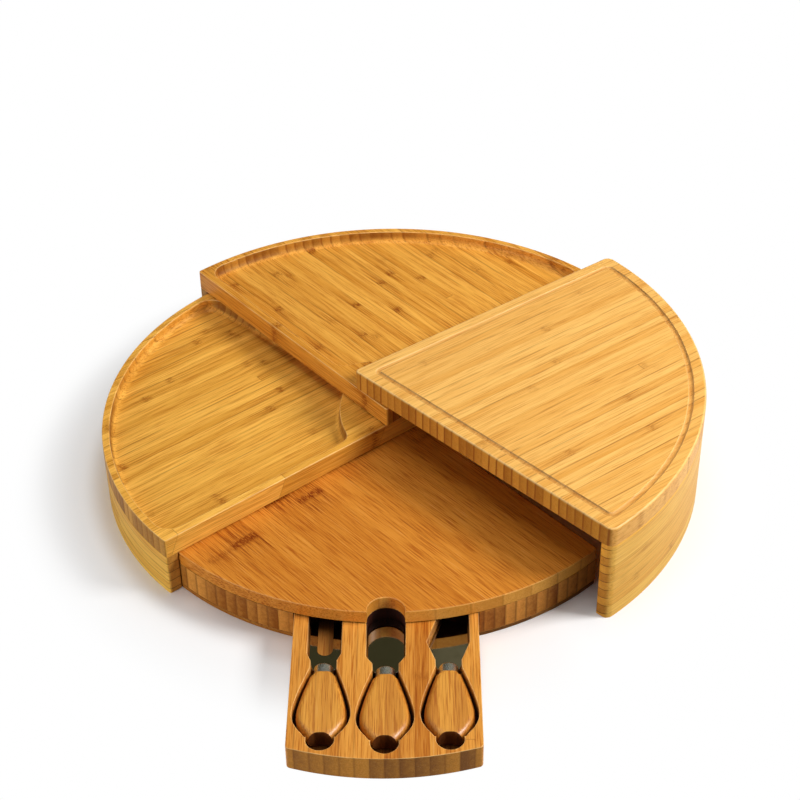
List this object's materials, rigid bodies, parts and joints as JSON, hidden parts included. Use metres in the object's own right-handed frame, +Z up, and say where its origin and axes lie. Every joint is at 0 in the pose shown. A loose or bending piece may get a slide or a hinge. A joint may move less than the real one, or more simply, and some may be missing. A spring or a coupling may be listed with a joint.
{
  "type": "cheese board set",
  "caption": "Bamboo cheese board whose stacked wedge tiers swing out into a round platter, over a base with a slide-out drawer that holds cheese knives.",
  "frame": {"origin": "point on the table where the pivot bolt's axis meets the underside of the base", "axes": "+Z up along the pivot axis, -Y the way the drawer opens, +X to the right of someone facing the drawer"},
  "size_m": [0.4372, 0.5334, 0.0803],
  "materials": {
    "bamboo_light": "oiled bamboo laminate in narrow strips, light golden",
    "bamboo_gold": "oiled bamboo laminate in narrow strips, golden",
    "bamboo_amber": "oiled bamboo laminate in wide flat strips with node bands, amber",
    "bamboo_edge": "bamboo end grain and edge grain, tan and brown strips",
    "bamboo_handle": "sanded and oiled bamboo, golden, rounded",
    "polished_steel": "mirror-polished stainless steel",
    "zinc_plated_steel": "zinc-plated steel",
    "slip_washer_nylon": "natural nylon"
  },
  "bodies": {
    "base": {"base_bottom_panel": "bamboo_edge", "base_apex_block": "bamboo_edge", "base_left_rail": "bamboo_edge", "base_right_rail": "bamboo_edge", "base_top_panel": "bamboo_amber", "pivot_bolt": "zinc_plated_steel", "washer_over_base": "slip_washer_nylon"},
    "drawer": {"drawer_block": "bamboo_gold"},
    "fork": {"fork_blade": "polished_steel", "fork_ferrule": "polished_steel", "fork_handle": "bamboo_handle"},
    "spreader": {"spreader_blade": "polished_steel", "spreader_ferrule": "polished_steel", "spreader_handle": "bamboo_handle"},
    "cleaver": {"cleaver_blade": "polished_steel", "cleaver_ferrule": "polished_steel", "cleaver_handle": "bamboo_handle"},
    "tier_3": {"tier_3_tray": "bamboo_gold", "tier_3_skirt": "bamboo_gold", "washer_over_tier_3": "slip_washer_nylon"},
    "tier_2": {"tier_2_tray": "bamboo_gold", "tier_2_skirt": "bamboo_gold", "washer_over_tier_2": "slip_washer_nylon"},
    "tier_1": {"tier_1_board": "bamboo_light", "tier_1_skirt": "bamboo_light", "pivot_insert": "zinc_plated_steel"}
  },
  "joints": [
    {"name": "tier_3_swing", "type": "hinge", "parent": "base", "child": "tier_3", "pos_m": [0, 0, 0], "axis": [0, 0, 1], "range_deg": [0, 27]},
    {"name": "tier_2_swing", "type": "hinge", "parent": "tier_3", "child": "tier_2", "pos_m": [0, 0, 0], "axis": [0, 0, 1], "range_deg": [0, 90.16]},
    {"name": "tier_1_swing", "type": "hinge", "parent": "tier_2", "child": "tier_1", "pos_m": [0, 0, 0], "axis": [0, 0, 1], "range_deg": [0, 92.9]},
    {"name": "drawer_slide", "type": "slide", "parent": "base", "child": "drawer", "axis": [0, -1, 0], "range_m": [-0.1162, 0.014]},
    {"name": "fork_tilt", "type": "hinge", "parent": "drawer", "child": "fork", "pos_m": [-0.0399, -0.182, 0.0122], "axis": [-1, 0, 0], "range_deg": [0, 18]},
    {"name": "spreader_tilt", "type": "hinge", "parent": "drawer", "child": "spreader", "pos_m": [0, -0.1848, 0.0122], "axis": [-1, 0, 0], "range_deg": [0, 18]},
    {"name": "cleaver_tilt", "type": "hinge", "parent": "drawer", "child": "cleaver", "pos_m": [0.0405, -0.182, 0.0122], "axis": [-1, 0, 0], "range_deg": [0, 18]}
  ]
}
